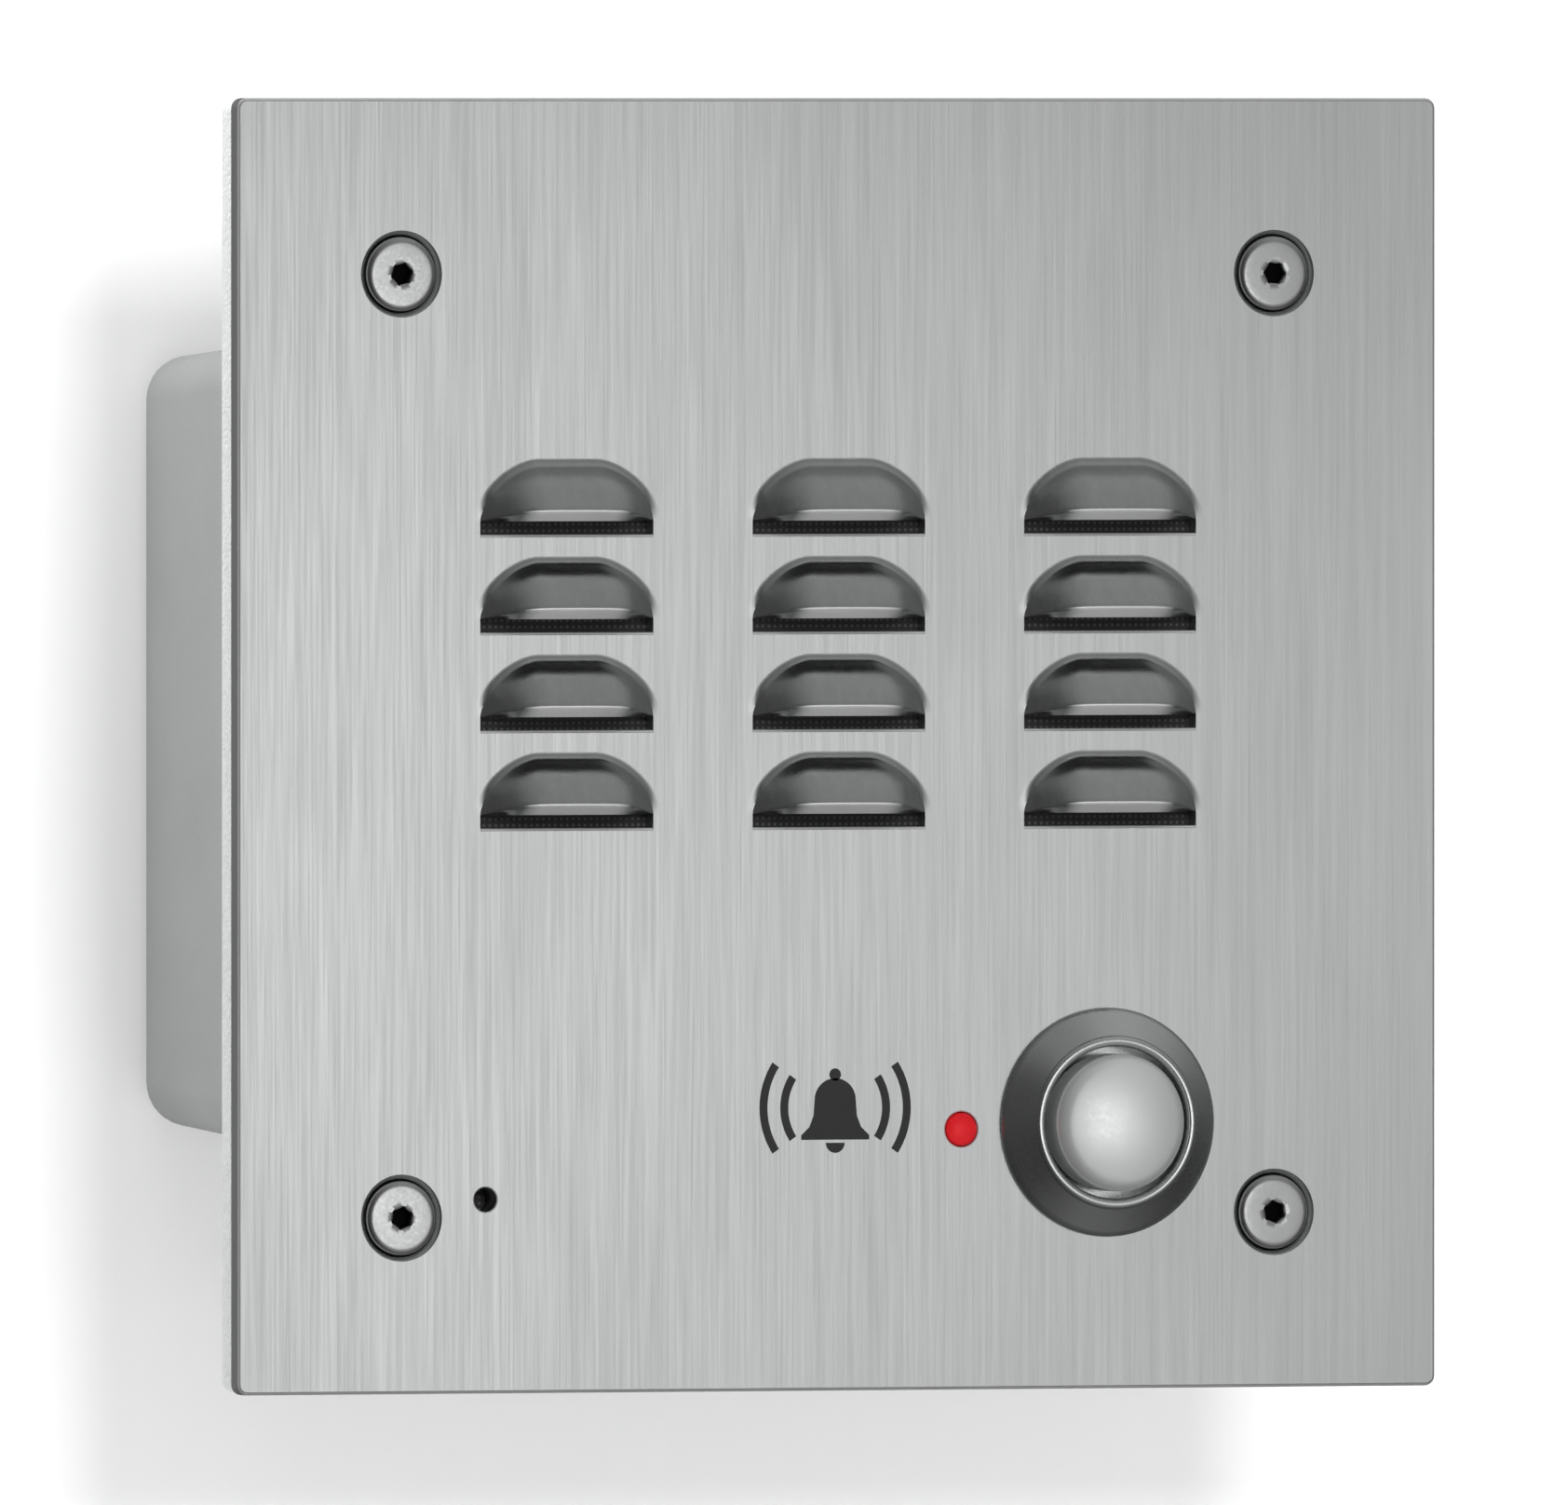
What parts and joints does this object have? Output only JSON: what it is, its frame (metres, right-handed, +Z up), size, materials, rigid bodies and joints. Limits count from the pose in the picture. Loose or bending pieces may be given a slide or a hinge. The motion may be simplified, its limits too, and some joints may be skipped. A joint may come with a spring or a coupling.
{
  "type": "door intercom panel",
  "caption": "Square flush-mounting door intercom panel: louvred brushed steel faceplate with a call button, lamp, microphone and loudspeaker, and an electronics housing behind it.",
  "frame": {"origin": "centre of the plane where the panel's foam gasket meets the wall box, behind the middle of the faceplate", "axes": "+Z up, +X to the right of somebody facing the panel, +Y into the wall"},
  "size_m": [0.127, 0.0635, 0.127],
  "materials": {
    "brushed_steel_sheet": "stainless sheet with a vertical brushed grain",
    "polished_steel": "polished stainless steel",
    "zinc_plate": "bright zinc plated steel",
    "aluminium_bar": "plain drawn aluminium bar",
    "aluminium_can": "satin drawn can",
    "grey_housing": "smooth light grey moulded plastic",
    "gasket_foam": "light grey closed-cell foam",
    "black_rubber": "matte black rubber",
    "black_plastic": "moulded black plastic",
    "screen_black": "woven black screen cloth",
    "red_lens": "red diffused lamp body",
    "paper_cone": "pressed paper pulp",
    "ferrite": "sintered ferrite",
    "board_green": "green solder mask over glass-fibre board",
    "terminal_green": "moulded green plastic",
    "switch_red": "moulded red plastic",
    "white_plastic": "moulded white plastic",
    "pot_blue": "moulded blue plastic",
    "relay_black": "moulded dark plastic",
    "transformer_tape": "amber winding tape over a laminated core",
    "lead_grey": "grey twin lead insulation"
  },
  "bodies": {
    "panel": {"faceplate": "brushed_steel_sheet", "panel_gasket": "gasket_foam", "call_button_bezel": "polished_steel", "call_button_seal": "black_rubber", "call_button_spring": "zinc_plate", "call_button_nut": "zinc_plate", "call_switch_module": "black_plastic", "led_lamp": "red_lens", "led_holder": "black_plastic", "mic_boot": "black_rubber", "mic_capsule": "aluminium_can", "louvre_screen": "screen_black", "speaker_gasket": "gasket_foam", "speaker_basket": "zinc_plate", "speaker_surround": "black_rubber", "speaker_magnet": "ferrite", "speaker_yoke": "zinc_plate", "rear_housing": "grey_housing", "circuit_board": "board_green", "terminal_block": "terminal_green", "dip_switch_body": "switch_red", "volume_pot_body": "pot_blue", "mic_pot_body": "pot_blue", "learn_switch_body": "black_plastic", "door_relay": "relay_black", "line_transformer": "transformer_tape", "speaker_lead": "lead_grey", "mic_lead": "lead_grey", "led_lead": "lead_grey", "call_lead": "lead_grey", "panel_screw_1": "polished_steel", "speaker_nut_1": "zinc_plate", "spacer_1": "aluminium_bar", "housing_screw_1": "zinc_plate", "terminal_screw_1": "zinc_plate", "panel_screw_2": "polished_steel", "speaker_nut_2": "zinc_plate", "spacer_2": "aluminium_bar", "housing_screw_2": "zinc_plate", "terminal_screw_2": "zinc_plate", "panel_screw_3": "polished_steel", "speaker_nut_3": "zinc_plate", "spacer_3": "aluminium_bar", "housing_screw_3": "zinc_plate", "terminal_screw_3": "zinc_plate", "panel_screw_4": "polished_steel", "speaker_nut_4": "zinc_plate", "spacer_4": "aluminium_bar", "housing_screw_4": "zinc_plate", "terminal_screw_4": "zinc_plate"},
    "call_button": {"call_button_cap": "polished_steel", "call_button_clip": "zinc_plate"},
    "speaker_diaphragm": {"speaker_cone": "paper_cone"},
    "volume_trimmer": {"volume_pot_rotor": "white_plastic"},
    "microphone_trimmer": {"mic_pot_rotor": "white_plastic"},
    "learn_button": {"learn_switch_button": "switch_red"},
    "dip_lever_body_1": {"dip_lever_1": "white_plastic"},
    "dip_lever_body_2": {"dip_lever_2": "white_plastic"},
    "dip_lever_body_3": {"dip_lever_3": "white_plastic"},
    "dip_lever_body_4": {"dip_lever_4": "white_plastic"}
  },
  "joints": [
    {"name": "call_button_press", "type": "slide", "parent": "panel", "child": "call_button", "axis": [0, 1, 0], "range_m": [0, 0.002], "stiffness_N_per_m": 400, "springref_m": -0.006, "deforming": ["call_button_spring"]},
    {"name": "speaker_cone_travel", "type": "slide", "parent": "panel", "child": "speaker_diaphragm", "axis": [0, 1, 0], "range_m": [-0.0005, 0.0005], "stiffness_N_per_m": 4000, "deforming": ["speaker_surround"]},
    {"name": "volume_trimmer_turn", "type": "hinge", "parent": "panel", "child": "volume_trimmer", "pos_m": [0.014, 0.047, 0.012], "axis": [0, 1, 0], "range_deg": [-135, 135]},
    {"name": "microphone_trimmer_turn", "type": "hinge", "parent": "panel", "child": "microphone_trimmer", "pos_m": [0.03, 0.047, 0.012], "axis": [0, 1, 0], "range_deg": [-135, 135]},
    {"name": "learn_button_press", "type": "slide", "parent": "panel", "child": "learn_button", "axis": [0, -1, 0], "range_m": [0, 0.0004], "stiffness_N_per_m": 2500, "springref_m": -0.0004},
    {"name": "dip_lever_slide_1", "type": "slide", "parent": "panel", "child": "dip_lever_body_1", "axis": [0, 0, 1], "range_m": [0, 0.0016]},
    {"name": "dip_lever_slide_2", "type": "slide", "parent": "panel", "child": "dip_lever_body_2", "axis": [0, 0, 1], "range_m": [0, 0.0016]},
    {"name": "dip_lever_slide_3", "type": "slide", "parent": "panel", "child": "dip_lever_body_3", "axis": [0, 0, 1], "range_m": [0, 0.0016]},
    {"name": "dip_lever_slide_4", "type": "slide", "parent": "panel", "child": "dip_lever_body_4", "axis": [0, 0, 1], "range_m": [0, 0.0016]}
  ]
}
